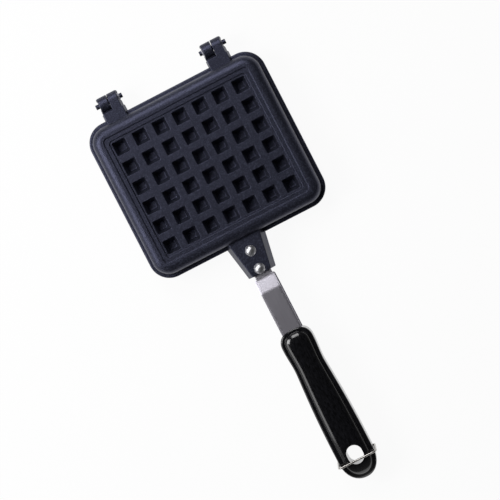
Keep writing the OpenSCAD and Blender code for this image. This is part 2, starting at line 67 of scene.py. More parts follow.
PIVOT_DROP, NOSE_R, BAIL_R, BAIL_HALF, WIRE_R, BAIL_LEAN = 8.4, 23.2, 24.4, 16.8, 0.9, 6.5
BAIL_CORNER, BAIL_FOOT, BAIL_REACH, BAIL_HOLE_R = 3.2, 1.5, 3.6, 0.98


def linear(hex_colour):
    """An sRGB hex colour as the linear red, green, blue and alpha that shaders take."""
    c = np.array([int(hex_colour[i:i + 2], 16) for i in (1, 3, 5)]) / 255
    c = np.where(c <= 0.04045, c / 12.92, ((c + 0.055) / 1.055) ** 2.4)
    return (*c.tolist(), 1.0)


def add(tree, kind, settings):
    """Adds a node. A setting that is another node's socket is linked, the rest are inputs or properties by name."""
    n = tree.nodes.new(kind)
    for key, value in settings.items():
        if isinstance(value, bpy.types.NodeSocket):
            tree.links.new(value, n.inputs[key])
        elif isinstance(key, str) and hasattr(n, key):
            setattr(n, key, value)
        else:
            n.inputs[key].default_value = value
    return n


# Shapes: profiles, rings and grids of points


def rounded(points, radii, steps=5, flat=0.1):
    """A polyline with its corners rounded. Each corner with a radius becomes an arc that touches both of its sides,
    radius over the tangent of half the corner's angle away from it, with a point a little outside each end of the
    arc so that the flats beside it stay flat when they are shaded smooth."""
    straight = 1.56
    p = np.asarray(points, float)
    out = [p[:1]]
    for before, at, after, r in zip(p[:-2], p[1:-1], p[2:], radii):
        u, v = before - at, after - at
        u, v = u / np.linalg.norm(u), v / np.linalg.norm(v)
        half = math.acos(np.clip(u @ v, -1, 1)) / 2
        if r == 0 or half > straight:
            out.append(at[None])
            continue
        reach = r / math.tan(half)
        centre = at + (u + v) / np.linalg.norm(u + v) * r / math.sin(half)
        a, b = at + u * reach - centre, at + v * reach - centre
        t = np.linspace(0, 1, steps + 1)[:, None]
        span = math.pi - 2 * half
        arc = centre + (np.sin((1 - t) * span) * a + np.sin(t * span) * b) / math.sin(span)
        out += [(at + u * (reach + flat))[None], arc, (at + v * (reach + flat))[None]]
    return np.concatenate(out + [p[-1:]])


def rings(half_x, half_y, radius, share_x, share_y, turn, centre=(0.0, 0.0)):
    """Points round rectangles with round corners, one ring a row: along each side at the given shares of its straight
    length, and round each corner in equal turns of a circle about the point one radius in from both sides."""
    ax, ay, r = (np.asarray(v, float).reshape(-1, 1) for v in (half_x, half_y, radius))
    cx, cy = (np.asarray(v, float).reshape(-1, 1) for v in centre)
    sx, sy = np.atleast_2d(share_x), np.atleast_2d(share_y)
    q = np.linspace(0, math.pi / 2, turn + 1)[None, 1:-1]
    x, y = [], []
    for quarter, (mx, my) in enumerate([(1, 1), (-1, 1), (-1, -1), (1, -1)]):
        side = [(ax + 0 * sy, (ay - r) * sy), ((r - ax) * sx, ay + 0 * sx),
                (-ax + 0 * sy, (r - ay) * sy), ((ax - r) * sx, -ay + 0 * sx)][quarter]
        x += [side[0], mx * (ax - r) + r * np.cos(q + quarter * math.pi / 2)]
        y += [side[1], my * (ay - r) + r * np.sin(q + quarter * math.pi / 2)]
    rows = max(len(v) for v in x + y)
    x, y = (np.concatenate([np.broadcast_to(v, (rows, v.shape[1])) for v in w], 1) for w in (x, y))
    return np.stack([x + cx, y + cy], -1)


def lifted(flat_rings, z):
    """Rings of points in the plane, each row raised to its own height."""
    z = np.broadcast_to(np.asarray(z, float).reshape(-1, 1), flat_rings.shape[:-1])
    return np.concatenate([flat_rings, z[..., None]], -1)


def turned(profile, around=32):
    """A surface of revolution about z: each (radius, height) of the profile goes round in equal steps of angle."""
    a = np.linspace(0, 2 * math.pi, around, endpoint=False)
    r, z = profile[:, :1], profile[:, 1:]
    return np.stack([r * np.cos(a), r * np.sin(a), z + 0 * a], -1)


def grid_faces(rows, columns, closed_rows, closed_columns):
    """Quads between the neighbours of a grid of points, with the last row or column joined to the first if closed."""
    a = np.arange(rows * columns).reshape(rows, columns)
    if closed_rows:
        a = np.concatenate([a, a[:1]])
    if closed_columns:
        a = np.concatenate([a, a[:, :1]], 1)
    return np.stack([a[:-1, :-1], a[:-1, 1:], a[1:, 1:], a[1:, :-1]], -1).reshape(-1, 4)


def placed(points, half, x=0.0, y=0.0):
    """A half's points set in the frame. The lower half is the upper one turned half a turn about Y, so its x and z
    change sign about the parting line."""
    sign = 1 if half == "upper" else -1
    p = points + np.array([x, y, 0.0])
    return p * np.array([sign, 1, sign]) + np.array([0, PAN_Y, PARTING_Z])


def make_piece(name, sheets, material, sharp=50):
    """One mesh from several grids of points, in millimetres: their quads, welded where they meet, facing outwards.
    A sheet is (points, closed rows, closed columns), and points may hold many grids of one shape."""
    weld, sliver = 3e-6, 1e-7
    verts, faces, start = [], [], 0
    for points, closed_rows, closed_columns in sheets:
        p = points.reshape(-1, *points.shape[-3:])
        many, rows, columns = p.shape[:3]
        quads = grid_faces(rows, columns, closed_rows, closed_columns)
        offsets = start + np.arange(many) * rows * columns
        faces.append((quads[None] + offsets[:, None, None]).reshape(-1, 4))
        verts.append(p.reshape(-1, 3))
        start += many * rows * columns
    mesh = bpy.data.meshes.new(name)
    mesh.from_pydata((np.concatenate(verts) / 1000).tolist(), [], np.concatenate(faces).tolist())
    bm = bmesh.new()
    bm.from_mesh(mesh)
    bmesh.ops.remove_doubles(bm, verts=bm.verts, dist=weld)
    bmesh.ops.dissolve_degenerate(bm, edges=bm.edges, dist=sliver)
    bmesh.ops.recalc_face_normals(bm, faces=bm.faces)
    bm.to_mesh(mesh)
    bm.free()
    mesh.shade_smooth()
    mesh.set_sharp_from_angle(angle=math.radians(sharp))
    mesh.materials.append(material)
    piece = bpy.data.objects.new(name, mesh)
    bpy.context.scene.collection.objects.link(piece)
    return piece


def combine(piece, sheets, how, sharp=38):
    """Joins another solid to a piece, or cuts it away, for good."""
    tool = make_piece("helper", sheets, piece.data.materials[0])
    m = piece.modifiers.new("combine", "BOOLEAN")
    m.operation, m.object, m.solver = how, tool, "EXACT"
    mesh = bpy.data.meshes.new_from_object(piece.evaluated_get(bpy.context.evaluated_depsgraph_get()))
    piece.modifiers.clear()
    piece.data = mesh
    bpy.data.objects.remove(tool)
    mesh.shade_smooth()
    mesh.set_sharp_from_angle(angle=math.radians(sharp))


def steady(piece):
    """Lets the wide faces of a cut piece set the shading at their corners, so that flats stay flat. For good."""
    m = piece.modifiers.new("steady", "WEIGHTED_NORMAL")
    m.keep_sharp, m.weight = True, 90
    mesh = bpy.data.meshes.new_from_object(piece.evaluated_get(bpy.context.evaluated_depsgraph_get()))
    piece.modifiers.clear()
    piece.data = mesh


def belongs(piece, body, slot, *nodes):
    """Sets a finished piece on its moving body and hides the nodes that it stands for. The slot argument is not used.
    """
    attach(piece, body)
    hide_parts(*nodes)


def lids(p):
    """A tube of rings closed at both ends, each on the middle of its last ring."""
    ends = [np.broadcast_to(p[k].mean(0), p[k].shape)[None] for k in (0, -1)]
    return np.concatenate([ends[0], p, ends[1]])


# Materials


def finish(name):
    """A new material with its shader and Object coordinates."""
    m = bpy.data.materials.new(name)
    m.use_nodes = True
    t = m.node_tree
    shader = t.nodes["Principled BSDF"]
    where = add(t, "ShaderNodeTexCoord", {}).outputs["Object"]
    return m, t, shader, where


def dress(tree, shader, colour, rough, bump):
    """Links the patterns of a material to its shader."""
    tree.links.new(colour, shader.inputs["Base Color"])
    tree.links.new(rough.outputs["Result"], shader.inputs["Roughness"])
    tree.links.new(bump.outputs["Normal"], shader.inputs["Normal"])


def cast_nonstick():
    """Die-cast aluminium sprayed with a blue-black non-stick coat: a satin film whose spray leaves an even orange
    peel about 0.8 mm across and mineral flecks, lighter and darker than the coat. Both are drawn at 1 to 1.5 mm to show.
    The coat lies unevenly, so its gloss drifts in clouds some centimetres wide."""
    m, t, s, where = finish("Nonstick_coat_on_cast_aluminium")
    fleck = add(t, "ShaderNodeTexNoise", {"Vector": where, "Scale": 900.0, "Detail": 2.0, "Roughness": 0.7})
    cloud = add(t, "ShaderNodeTexNoise", {"Vector": where, "Scale": 60.0, "Detail": 3.0})
    coat = add(t, "ShaderNodeValToRGB", {"Fac": fleck.outputs["Fac"]})
    ramp = coat.color_ramp
    ramp.elements[0].position, ramp.elements[0].color = 0.36, linear("#121318")
    ramp.elements[1].position, ramp.elements[1].color = 0.68, linear("#383b48")
    e = ramp.elements.new(0.5)
    e.color = linear("#1a1b22")
    rough = add(t, "ShaderNodeMapRange", {"Value": cloud.outputs["Fac"], "To Min": 0.37, "To Max": 0.46})
    peel = add(t, "ShaderNodeTexNoise", {"Vector": where, "Scale": 1100.0, "Detail": 1.0})
    bump = add(t, "ShaderNodeBump", {"Height": peel.outputs["Fac"], "Strength": 0.5, "Distance": 0.0002})
    dress(t, s, coat.outputs["Color"], rough, bump)
    s.inputs["IOR"].default_value = 1.6
    s.inputs["Specular Tint"].default_value = linear("#ccd0ff")
    return m


def rolled_steel(name, colour, dark, low, high, along, across, strength):
    """Steel with the fine lines of its rolling, brushing or drawing: noise stretched along Y, a few tenths of a
    millimetre across, moves the colour, the roughness and the bump a little. Equal scales give an even grain."""
    m, t, s, where = finish(name)
    stretch = add(t, "ShaderNodeMapping", {"Vector": where, "Scale": (across, along, across)})
    lines = add(t, "ShaderNodeTexNoise", {"Vector": stretch.outputs["Vector"], "Scale": 1.0, "Detail": 4.0})
    tint = add(t, "ShaderNodeMix", {"data_type": "RGBA", "Factor": lines.outputs["Fac"]})
    tint.inputs[6].default_value, tint.inputs[7].default_value = linear(dark), linear(colour)
    rough = add(t, "ShaderNodeMapRange", {"Value": lines.outputs["Fac"], "To Min": low, "To Max": high})
    bump = add(t, "ShaderNodeBump", {"Height": lines.outputs["Fac"], "Strength": strength, "Distance": 0.0001})
    dress(t, s, tint.outputs[2], rough, bump)
    s.inputs["Metallic"].default_value = 1.0
    return m


def moulded_phenolic():
    """Compression-moulded black phenolic: a glossy skin with a faint long grain from the wood flour in the resin, and
    handling haze in soft clouds a few centimetres long."""
    m, t, s, where = finish("Black_moulded_phenolic")
    stretch = add(t, "ShaderNodeMapping", {"Vector": where, "Scale": (900.0, 260.0, 900.0)})
    grain = add(t, "ShaderNodeTexNoise", {"Vector": stretch.outputs["Vector"], "Scale": 1.0, "Detail": 3.0})
    haze = add(t, "ShaderNodeTexNoise", {"Vector": where, "Scale": 40.0, "Detail": 2.0})
    tone = add(t, "ShaderNodeValToRGB", {"Fac": grain.outputs["Fac"]})
    tone.color_ramp.elements[0].position, tone.color_ramp.elements[0].color = 0.35, linear("#08080a")
    tone.color_ramp.elements[1].position, tone.color_ramp.elements[1].color = 0.75, linear("#1a1a1e")
    rough = add(t, "ShaderNodeMapRange", {"Value": haze.outputs["Fac"], "To Min": 0.08, "To Max": 0.16})
    bump = add(t, "ShaderNodeBump", {"Height": grain.outputs["Fac"], "Strength": 0.06, "Distance": 0.0001})
    dress(t, s, tone.outputs["Color"], rough, bump)
    s.inputs["IOR"].default_value = 1.6
    return m


CASTING = cast_nonstick()
# The strap glints in one broad streak where it slopes, the heads in a soft spot, and the pins hardly at all. The wire
# shows thin bright lines.
STRAP = rolled_steel("Brushed_stainless_strap", "#d2cfd9", "#bebbc5", 0.34, 0.42, 60.0, 2600.0, 0.08)
RIVET = rolled_steel("Bright_headed_stainless", "#dcdce0", "#cfcfd4", 0.34, 0.42, 500.0, 500.0, 0.04)
PIN = rolled_steel("Zinc_plated_hinge_pin", "#b9bac4", "#a9aab4", 0.5, 0.6, 500.0, 500.0, 0.04)
WIRE = rolled_steel("Drawn_stainless_wire", "#c9c6c2", "#a8a5a2", 0.24, 0.34, 400.0, 400.0, 0.1)
PHENOLIC = moulded_phenolic()


# Cast halves


def cell_marks(count, pitch, end):
    """Places across the panel where its cells' corners and the points between them lie: cell borders halfway between
    two pits, the outermost at the given end, with each cell's side cut in three."""
    border = np.concatenate([[-end], (np.arange(1, count) - count / 2) * pitch, [end]])
    return np.interp(np.arange(3 * count + 1) / 3, np.arange(count + 1), border)


def cells(end_x, end_y, level, profile, corner):
    """One grid for each pit or stud: rounded squares that follow the profile of (half width, height) down to its
    centre, inside the rectangle of its cell at the panel's level. The rectangles fill the panel without a gap."""
    marks_x, marks_y = cell_marks(COLUMNS, COLUMN_PITCH, end_x)[::3], cell_marks(ROWS, ROW_PITCH, end_y)[::3]
    i, j = (v.ravel() for v in np.meshgrid(np.arange(COLUMNS), np.arange(ROWS)))
    x0, x1, y0, y1 = marks_x[i], marks_x[i + 1], marks_y[j], marks_y[j + 1]
    share = np.linspace(-1, 1, 4)
    border = rings((x1 - x0) / 2, (y1 - y0) / 2, 0 * x0, share, share, 4, ((x0 + x1) / 2, (y0 + y1) / 2))
    half, z = profile[:, 0], profile[:, 1]
    radius = np.minimum(np.interp(half, corner[0], corner[1]), half)
    body = lifted(rings(half, half, radius, share, share, 4), z)
    middle = np.stack([(i - (COLUMNS - 1) / 2) * COLUMN_PITCH, (j - (ROWS - 1) / 2) * ROW_PITCH, 0 * i], -1)
    body = body[None] + middle[:, None, None]
    return np.concatenate([lifted(border, level)[:, None], body], 1)


def plate_skin():
    """The casting's skin as one closed surface. A profile of (distance in from the flange's edge, height) is carried
    round a rounded rectangle whose corner radius shrinks as it goes in: panel, ledge, bevel, crest, shoulder, leaning
    wall, flange, sealing rim, cavity wall and cavity floor. Pits fill the panel, and studs the cavity's floor."""
    end_out, end_in = PANEL_D + 0.9, CAVITY_D
    outside = rounded(
        [(end_out, PANEL_Z), (PANEL_D + 0.1, PANEL_Z), (PANEL_D - 0.1, LEDGE_Z), (LEDGE_D, LEDGE_Z),
         (CREST_D, CREST_Z), (SHOULDER_D - 7.85, CREST_Z), (FLANGE_D, FLANGE_Z), (0.0, FLANGE_Z), (0.0, SEAM_Z),
         (SEAL_MID_D, SEAM_Z)],
        [0.35, 0.35, 0.35, 0.7, SHOULDER_R, 1.0, 1.2, 0.25], 6)
    inside = rounded(
        [(SEAL_MID_D, SEAM_Z), (SEAL_D, SEAM_Z), (SEAL_D + FLOOR_Z * CAVITY_DRAFT, FLOOR_Z), (end_in, FLOOR_Z)],
        [0.35, 4.0], 7)
    rows = []
    for part, end, radii in (
        (outside, end_out, ([0, LEDGE_D, PANEL_D, end_out], [CORNER, CORNER - LEDGE_D, 2.8, 0])),
        (inside, end_in, ([0, CAVITY_ROUND_D, end_in], [CORNER, CORNER - CAVITY_ROUND_D, 0])),
    ):
        d, z = part[:, 0], part[:, 1]
        share_x = cell_marks(COLUMNS, COLUMN_PITCH, PLATE_X - end) / (PLATE_X - end)
        share_y = cell_marks(ROWS, ROW_PITCH, PLATE_Y - end) / (PLATE_Y - end)
        radius = np.interp(d, radii[0], radii[1])
        rows.append(lifted(rings(PLATE_X - d, PLATE_Y - d, radius, share_x, share_y, 14), z))
    slope = (PIT_MOUTH - PIT_FLOOR) / (PANEL_Z - PIT_FLOOR_Z)
    stud_root = PIT_FLOOR + STUD_WALL + (FLOOR_Z - PIT_FLOOR_Z) * slope
    stud_tip = PIT_FLOOR + STUD_WALL + (STUD_TIP_Z - PIT_FLOOR_Z) * slope
    pit = rounded([(PIT_MOUTH + 0.5, PANEL_Z), (PIT_MOUTH, PANEL_Z), (PIT_FLOOR, PIT_FLOOR_Z), (0, PIT_FLOOR_Z)],
                  [0.45, 0.9], 5, 0.06)
    stud = rounded([(stud_root + 1.25, FLOOR_Z), (stud_root, FLOOR_Z), (stud_tip, STUD_TIP_Z), (0, STUD_TIP_Z)],
                   [1.4, 0.8], 5, 0.06)
    pits = cells(PLATE_X - end_out, PLATE_Y - end_out, PANEL_Z, pit, ([PIT_FLOOR, PIT_MOUTH], [0.8, 1.1]))
    studs = cells(PLATE_X - end_in, PLATE_Y - end_in, FLOOR_Z, stud, ([stud_tip, stud_root], [1.3, 1.7]))
    return [(p, False, True) for p in (np.concatenate(rows), pits, studs)]


def hinge_base():
    """The drafted block a hinge arm stands on: rounded rectangles stacked in z that shrink by the draft as they rise,
    with a rolled top edge, closed on its middle."""
    half_y = (LUG_END_Y - LUG_ROOT_Y) / 2
    p = rounded([(0, SEAM_Z), (LUG_HALF + KNUCKLE * LUG_LEAN, SEAM_Z), (LUG_HALF, KNUCKLE), (0, KNUCKLE)],
                [0.25, 0.5], 4)
    half_x, z = p[:, 0], p[:, 1]
    inset = np.minimum(LUG_HALF + (KNUCKLE - z) * LUG_LEAN - half_x, half_y)
    r = np.minimum(0.7, np.minimum(half_x, half_y - inset))
    share = np.linspace(-1, 1, 3)
    return lifted(rings(half_x, half_y - inset, r, share, share, 4, (0.0, LUG_ROOT_Y + half_y)), z), False, True


def hinge_arm():
    """Arm and knuckle in one: the outline from the side, a bar that ends in a circle about the pin, carried across
    in X with rolled edges, and closed on both side faces towards the line at half the knuckle's height. The inner
    face steps out at the root, and the outer one leans by the draft both ways from the parting line and turns round
    the far corner in a circle. The root starts a little below the base's top, so that no two faces share a plane.
    The surface still has open edges."""
    dip, step_y, step_x = 0.06, [79.8, 81.3], [0.2, 0.4]
    q = np.linspace(0, math.pi / 2, 13)
    near, far = PIN_Y - KNUCKLE, PIN_Y + KNUCKLE
    root = np.array([LUG_END_Y - 1, LUG_END_Y - 0.3, near - 0.9])
    root_z = np.array([KNUCKLE - dip, KNUCKLE, KNUCKLE])
    lead = PIN_Y - KNUCKLE * np.sin(q[::-1])
    y = np.concatenate([root, lead, PIN_Y + KNUCKLE * np.sin(q[1:]), PIN_Y + KNUCKLE * np.cos(q[1:]),
                        PIN_Y - KNUCKLE * np.sin(q[1:]), root[::-1]])
    z = np.concatenate([root_z, 0 * lead + KNUCKLE, KNUCKLE * np.cos(q[1:]), -KNUCKLE * np.sin(q[1:]),
                        -KNUCKLE * np.cos(q[1:]), 0 * root + SEAM_Z])
    line = np.stack([y, z], -1)
    step = np.roll(line, -1, 0) - np.roll(line, 1, 0)
    inward = np.stack([step[:, 1], -step[:, 0]], -1) / np.linalg.norm(step, axis=1)[:, None]

    def spread(p, side, back):
        """Points of a side face with their x, the given distance back from it."""
        if side < 0:
            x = np.interp(p[:, 0], step_y, step_x) + back
        else:
            past = np.maximum(0, p[:, 0] - far + ARM_CORNER)
            corner = ARM_HALF - ARM_CORNER + np.sqrt(np.maximum(0, ARM_CORNER ** 2 - past ** 2))
            x = np.minimum(ARM_HALF - np.abs(p[:, 1]) * LUG_LEAN, corner) - back
        return np.concatenate([x[:, None], p], 1)

    def face(side, roll):
        """One side face from the line at half height out to the outline, and round its rolled edge."""
        turn = np.linspace(0, math.pi / 2, 5)
        inner = line + inward * roll
        foot = np.stack([np.clip(inner[:, 0], root[0], None), np.where(y < near - 0.5, SEAM_Z, 0.0)], -1)
        foot[:, 0] = np.where(y < near - 0.5, line[:, 0], inner[:, 0])
        rows = [spread(foot + (inner - foot) * t, side, 0.0) for t in (0, 0.3, 0.6, 0.85)]
        rows += [spread(line + inward * roll * (1 - math.sin(a)), side, roll * (1 - math.cos(a))) for a in turn]
        return rows + [spread(line, side, roll + 0.1)]

    return np.stack(face(-1, 0.25) + face(1, 0.45)[::-1]), False, True


def pin_cutter():
    """The pin's bore and the round seat sunk for its end, turned about X."""
    start, end = -12, 14
    outline = [(0, start), (BORE_R, start), (BORE_R, SEAT_X), (SEAT_R, SEAT_X), (SEAT_R, end), (0, end)]
    p = turned(np.array(outline), 40)
    return np.stack([p[..., 2], p[..., 1] + PIN_Y, p[..., 0]], -1), False, True


def bracket():
    """The riveted channel: a U-shaped section carried along Y, whose half width falls with the taper along Y and with
    the draft as it rises. The free end is rolled in a little, and the outer and inner lines of the U are joined
    there and along both feet."""
    y = np.concatenate([np.linspace(-64.0, BRACKET_END_Y + BRACKET_ROLL, 12),
                        BRACKET_END_Y + BRACKET_ROLL * (1 - np.sin(np.linspace(0.3, math.pi / 2, 5)))])
    roll = np.clip(1 - (y - BRACKET_END_Y) / BRACKET_ROLL, 0, 1)
    roll = BRACKET_ROLL * (1 - np.sqrt(1 - roll ** 2))
    taper, draft = math.tan(BRACKET_TAPER), math.tan(BRACKET_DRAFT) / math.cos(BRACKET_TAPER)
    foot = BRACKET_HALF + BRACKET_Z * draft + (y + PLATE_Y) * taper

    def line(wall, top, edge, low):
        """The U's outline at every y, a wall in from the outside, with its top edges rolled."""
        half = foot - wall
        k = rounded([(-20, 0), (0, 0), (draft * -9, -9)], [edge], 5)[1:-1]
        z = np.concatenate([[top], top + k[:, 1], [low]])
        shift = np.concatenate([[0], k[:, 0], [0]])
        z = z[None] - np.where(np.arange(len(z))[None] < len(z) - 1, roll[:, None], 0)
        x = (half - roll)[:, None] - top * draft + shift[None]
        x[:, -1] = (half - roll) - low * draft
        x[:, 0] = 0
        right = np.stack([x, np.broadcast_to(y[:, None], x.shape), z], -1)
        left = right[:, :0:-1] * np.array([-1, 1, 1])
        return np.concatenate([left, right], 1)

    outer = line(0.0, BRACKET_Z, BRACKET_EDGE, SEAM_Z)
    inner = line(BRACKET_WALL, BRACKET_Z - BRACKET_TOP, BRACKET_EDGE, SEAM_Z)
    return [
        (outer, False, False), (inner, False, False),
        (np.stack([outer[:, 0], inner[:, 0]], 1), False, False),
        (np.stack([outer[:, -1], inner[:, -1]], 1), False, False),
        (np.stack([outer[-1], inner[-1]]), False, False),
    ]


# Rivets and pins


def dome(radius, height, edge=0.35):
    """The profile of a snap head: a circle through the rim and the top, with its rim rolled under."""
    ball = (radius ** 2 + height ** 2) / (2 * height)
    reach = math.asin((radius - edge * 0.3) / ball)
    a = np.linspace(0, reach, 9)
    cap = np.stack([ball * np.sin(a), height - ball + ball * np.cos(a)], -1)
    return np.concatenate([cap, [(radius, edge * 0.5), (radius - 0.05, 0.0)]])


def rivet_sheet(half, y):
    """A rivet: the head's profile, the shank and the set head under the strap, turned about z."""
    head = dome(4.6, 2.5) + np.array([0, BRACKET_Z])
    tail = np.array([(2.5, BRACKET_Z), (2.5, 5.0), (3.65, 5.0), (3.7, 4.9), (3.7, 3.8), (3.45, 3.6), (0, 3.6)])
    return placed(turned(np.concatenate([head, tail])), half, 0.0, y), False, True


def pin_sheet(side):
    """A hinge pin, turned about X: its domed head on the knuckle nearer the pan's middle, its peened tail outside."""
    head = dome(3.5, 2.1, 0.3) + np.array([0, SEAT_X])
    tail = (dome(2.8, 0.9, 0.2) * np.array([1, -1]) - np.array([0, SEAT_X + 0.1]))[::-1]
    p = turned(np.concatenate([head, [(PIN_R, SEAT_X), (PIN_R, -SEAT_X - 0.1)], tail]), 28)
    p = np.stack([-side * p[..., 2], p[..., 1], p[..., 0]], -1)
    return placed(p, "upper", side * HINGE_X, PIN_Y), False, True


# Straps


def strap_sheet(half):
    """A bent strip: a rounded rectangle 1.8 mm thick carried along a line that runs level, bends up 13 degrees,
    bends back and runs level into the grip. Its half width steps from the tongue to the full width round a quarter
    circle, and both ends close on the middle."""
    bend, slope, rise, low = 9.0, math.radians(13), 2.6, 5.9
    flat = bend * (1 - math.cos(slope))
    ramp = (rise - 2 * flat) / math.tan(slope)
    a = np.linspace(0, slope, 9)
    start = np.linspace(-73.0, SHOULDER_Y, 14)
    first = np.stack([SHOULDER_Y - bend * np.sin(a), low + bend - bend * np.cos(a)], -1)
    far = SHOULDER_Y - 2 * bend * math.sin(slope) - ramp
    second = np.stack([far + bend * np.sin(a[::-1]), low + rise - bend + bend * np.cos(a[::-1])], -1)
    path = np.concatenate([np.stack([start, 0 * start + low], -1)[:-1], first, second,
                           np.stack([np.linspace(far - 1, GRIP_FRONT_Y - 20, 24), np.full(24, low + rise)], -1)])
    q = SHOULDER_Y - STRAP_STEP * (1 - np.cos(np.linspace(0, math.pi / 2, 8)))
    y = np.unique(np.concatenate([path[:, 0], q, [SHOULDER_Y + 1e-3]]))[::-1]
    z = np.interp(y, path[::-1, 0], path[::-1, 1])
    into = np.clip((SHOULDER_Y - y) / STRAP_STEP, 0, 1)
    widened = STRAP_HALF - STRAP_STEP + STRAP_STEP * np.sqrt(1 - (1 - into) ** 2)
    half_width = np.where(y > SHOULDER_Y, TONGUE_HALF, widened)
    tilt = np.arctan(np.gradient(z, y))
    edge = rings([0.9], [1.0], [STRAP_EDGE], np.linspace(-1, 1, 2), np.linspace(-1, 1, 9), 3)[0]
    share = np.clip(edge[:, 1] / (1 - STRAP_EDGE), -1, 1)
    over = edge[:, 1] - (1 - STRAP_EDGE) * share
    u = share[None] * (half_width - STRAP_EDGE)[:, None] + over[None]
    v = np.broadcast_to(edge[:, 0], u.shape)
    p = np.stack([u, y[:, None] - v * np.sin(tilt)[:, None], z[:, None] + v * np.cos(tilt)[:, None]], -1)
    return placed(lids(p), half), False, True


# Grips


def ease(t):
    """A level turn from 0 to 1: half a cosine."""
    return (1 - np.cos(math.pi * np.clip(t, 0, 1))) / 2


def round_end(t, fullness):
    """Half width of a round end, from 1 to 0 along a superellipse of the given fullness."""
    return np.maximum(0, 1 - np.clip(t, 0, 1) ** fullness) ** (1 / fullness)


def grip_half(s):
    """Half width at a distance s from the front: bulb to waist to swell, with level turns between them."""
    near = BULB + (WAIST - BULB) * ease((s - FRONT_ROUND) / (WAIST_AT - FRONT_ROUND))
    far = WAIST + (SWELL - WAIST) * ease((np.maximum(0, s - WAIST_AT) / (SWELL_AT - WAIST_AT)) ** 0.6)
    return np.where(s < WAIST_AT, near, far)


def grip_rise(z, s):
    """Height at s of a point whose full height is z: it sinks a little at the waist, and beyond the bail's pivot it
    follows an arc about that pivot."""
    nose = np.sqrt(NOSE_R ** 2 - np.maximum(0, s - PIVOT_S) ** 2) - PIVOT_DROP
    dip = 1 - 0.06 * (SWELL - grip_half(s)) / (SWELL - WAIST)
    return GRIP_GAP_Z + (z - GRIP_GAP_Z) * dip * (nose - GRIP_GAP_Z) / (CROWN_Z - GRIP_GAP_Z)


def grip_sheet(half):
    """A grip: its section, from the flat under it over side wall, band and crown, carried round its outline and drawn
    in towards a spine. A point's share of the way out from the spine is one less its distance in over the widest half
    width, and its height is bent by grip_rise. The crown is nearly a quarter ellipse, upright at the band."""
    under = np.array([(SWELL, GRIP_GAP_Z), (6.0, GRIP_GAP_Z), (0.6, GRIP_GAP_Z)])
    foot = BAND_Z + BAND_RISE
    wall = rounded([(0.6, GRIP_GAP_Z), (0, GRIP_GAP_Z), (0, BAND_Z), (BAND_WIDTH - 0.3, foot - 0.1),
                    (BAND_WIDTH, foot + 0.25)],
                   [0.35, BAND_EDGE, 0.25], 6)[1:]
    t = np.linspace(0, math.pi / 2, 20)[1:]
    crown = np.stack([SWELL - (SWELL - BAND_WIDTH) * np.cos(t) ** 1.15,
                      foot + 0.25 + (CROWN_Z - foot - 0.25) * np.sin(t) ** 0.9], -1)
    section = np.concatenate([under, wall, crown])
    turn = np.linspace(0, 2 * math.pi, 144, endpoint=False)
    s = GRIP_LENGTH * (1 - np.cos(turn)) / 2
    outline = (grip_half(s) * round_end((FRONT_ROUND - s) / FRONT_ROUND, 2.5)
               * round_end((s - GRIP_LENGTH + TAIL_ROUND) / TAIL_ROUND, 2.1))
    side = np.where(turn < math.pi, 1, -1)
    spine = np.clip(s, FRONT_ROUND, GRIP_LENGTH - SWELL)
    share = 1 - section[:, :1] / SWELL
    along = spine + (s - spine) * share
    p = np.stack([side * share * outline, GRIP_FRONT_Y - along, grip_rise(section[:, 1:], along)], -1)
    return placed(p, half), False, True


def hole_cutter(half):
    """The long hanging hole as a solid to cut with: racetracks stacked in z, whose mouth opens in a quarter
    ellipse."""
    q = np.linspace(0, math.pi / 2, 11)
    r = np.concatenate([[HOLE_R, HOLE_R], HOLE_R + 2.4 * (1 - np.cos(q)), [HOLE_R + 3.4]])
    z = np.concatenate([[-3.0, 10.0], CROWN_Z - 2.1 + 2.0 * np.sin(q), [CROWN_Z + 2.5]])
    p = lifted(rings(r, r + HOLE_RUN, r, [0.0], np.linspace(-1, 1, 2), 14), z)
    return placed(lids(p), half, 0.0, GRIP_FRONT_Y - HOLE_S), False, True


def bail_hole_cutter(side):
    """The hole in the lower grip's side in which the wire turns, as a cylinder along X."""
    start, end = 12.4, 20.0
    p = turned(np.array([(0, start), (BAIL_HOLE_R, start), (BAIL_HOLE_R, end), (0, end)]), 20)
    p = np.stack([side * p[..., 2], p[..., 1] + GRIP_FRONT_Y - PIVOT_S, p[..., 0] + PIVOT_DROP], -1)
    return placed(p, "lower"), False, True


# Bail


def bail_sheet():
    """The wire bail: a circle carried along the wire's line, up from one grip hole round two bends, over the crown
    and down again, then leaned back about its pivot."""
    corner, foot, q = BAIL_CORNER, BAIL_FOOT, np.linspace(0, math.pi / 2, 9)
    right = np.concatenate([
        [(BAIL_HALF - BAIL_REACH, 0.0)],
        np.stack([BAIL_HALF - foot + foot * np.sin(q), foot - foot * np.cos(q)], -1),
        np.stack([BAIL_HALF - corner + corner * np.cos(q), BAIL_R - corner + corner * np.sin(q)], -1),
    ])
    line = np.concatenate([right, right[::-1] * np.array([-1, 1])])
    step = np.gradient(line, axis=0)
    step = step / np.linalg.norm(step, axis=1)[:, None]
    a = np.linspace(0, 2 * math.pi, 18, endpoint=False)
    across = np.stack([step[:, 1], -step[:, 0]], -1)
    x = line[:, :1] + WIRE_R * np.cos(a) * across[:, :1]
    z = line[:, 1:] + WIRE_R * np.cos(a) * across[:, 1:]
    y = WIRE_R * np.sin(a) + 0 * x
    lean = math.radians(BAIL_LEAN)
    p = np.stack([x, y * math.cos(lean) - z * math.sin(lean), y * math.sin(lean) + z * math.cos(lean)], -1)
    return lids(p) + np.array([0, PAN_Y + GRIP_FRONT_Y - PIVOT_S, PARTING_Z - PIVOT_DROP]), False, True


# The pan, piece by piece

